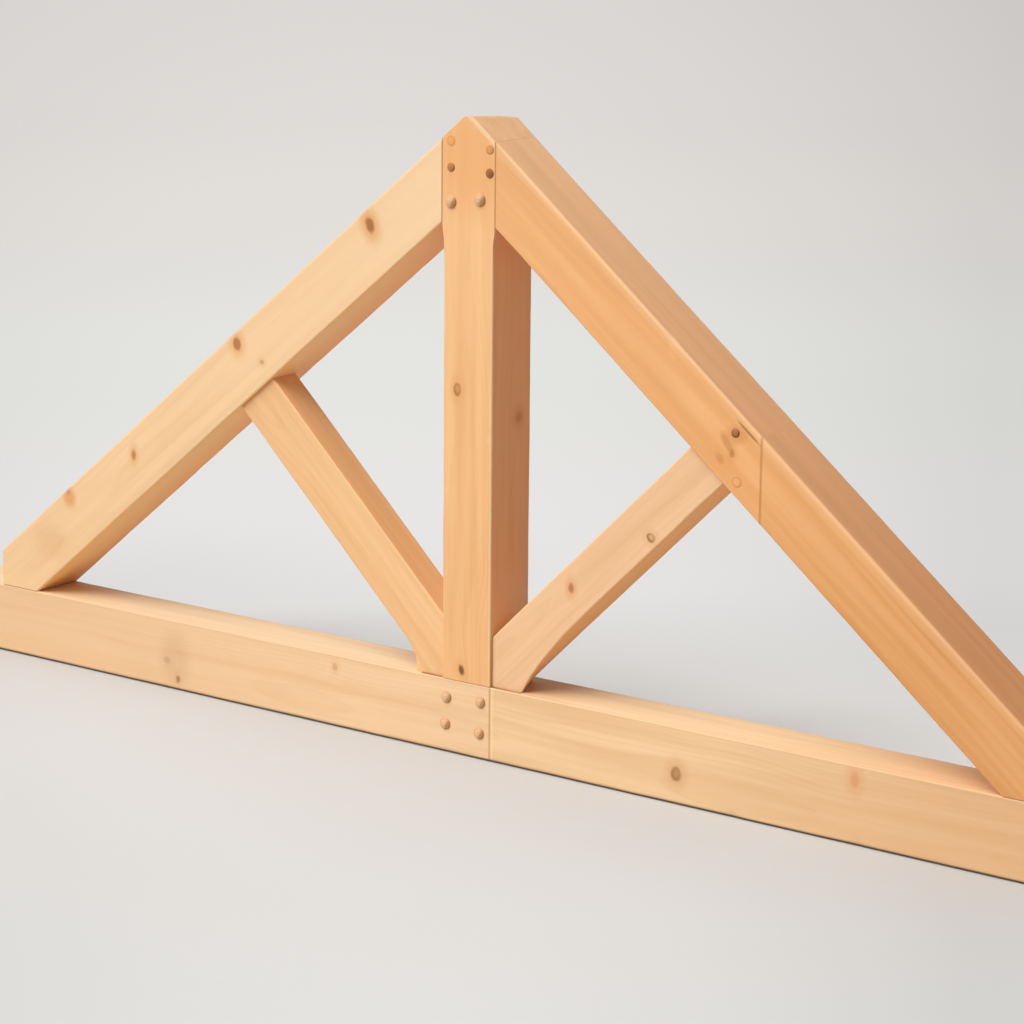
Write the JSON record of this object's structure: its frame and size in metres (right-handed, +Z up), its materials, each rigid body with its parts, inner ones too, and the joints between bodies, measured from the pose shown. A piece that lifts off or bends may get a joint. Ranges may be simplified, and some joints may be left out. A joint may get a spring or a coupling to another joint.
{
  "type": "wooden roof truss",
  "caption": "Small king-post roof truss of planed softwood: tie beam, king post, two rafters and two struts, with pegged mortise and tenon joints.",
  "frame": {"origin": "on the floor plane under the middle of the truss: mid-length of the tie beam, on the king post's centre line, at the tie beam's underside", "axes": "+X along the tie beam, towards the spliced rafter; +Y from the front (peg heads) to the back (peg tails); +Z up"},
  "size_m": [3.6, 0.164, 1.5],
  "materials": {
    "pale_softwood": "planed, bare",
    "tan_softwood": "planed, bare",
    "honey_softwood": "planed, bare",
    "peg_wood": "turned, bare"
  },
  "bodies": {
    "root": {"tie_beam_left": "pale_softwood", "tie_beam_right": "pale_softwood", "king_post": "tan_softwood", "rafter_left": "pale_softwood", "rafter_right_upper": "honey_softwood", "rafter_right_lower": "honey_softwood", "strut_left": "tan_softwood", "strut_right": "tan_softwood", "head_peg_left_top": "peg_wood", "head_peg_left_middle": "peg_wood", "head_peg_left_bottom": "peg_wood", "head_peg_right_top": "peg_wood", "head_peg_right_middle": "peg_wood", "head_peg_right_bottom": "peg_wood", "tie_peg_left_top": "peg_wood", "tie_peg_left_bottom": "peg_wood", "tie_peg_right_top": "peg_wood", "tie_peg_right_bottom": "peg_wood", "rafter_peg_top": "peg_wood", "rafter_peg_bottom": "peg_wood"}
  },
  "joints": []
}
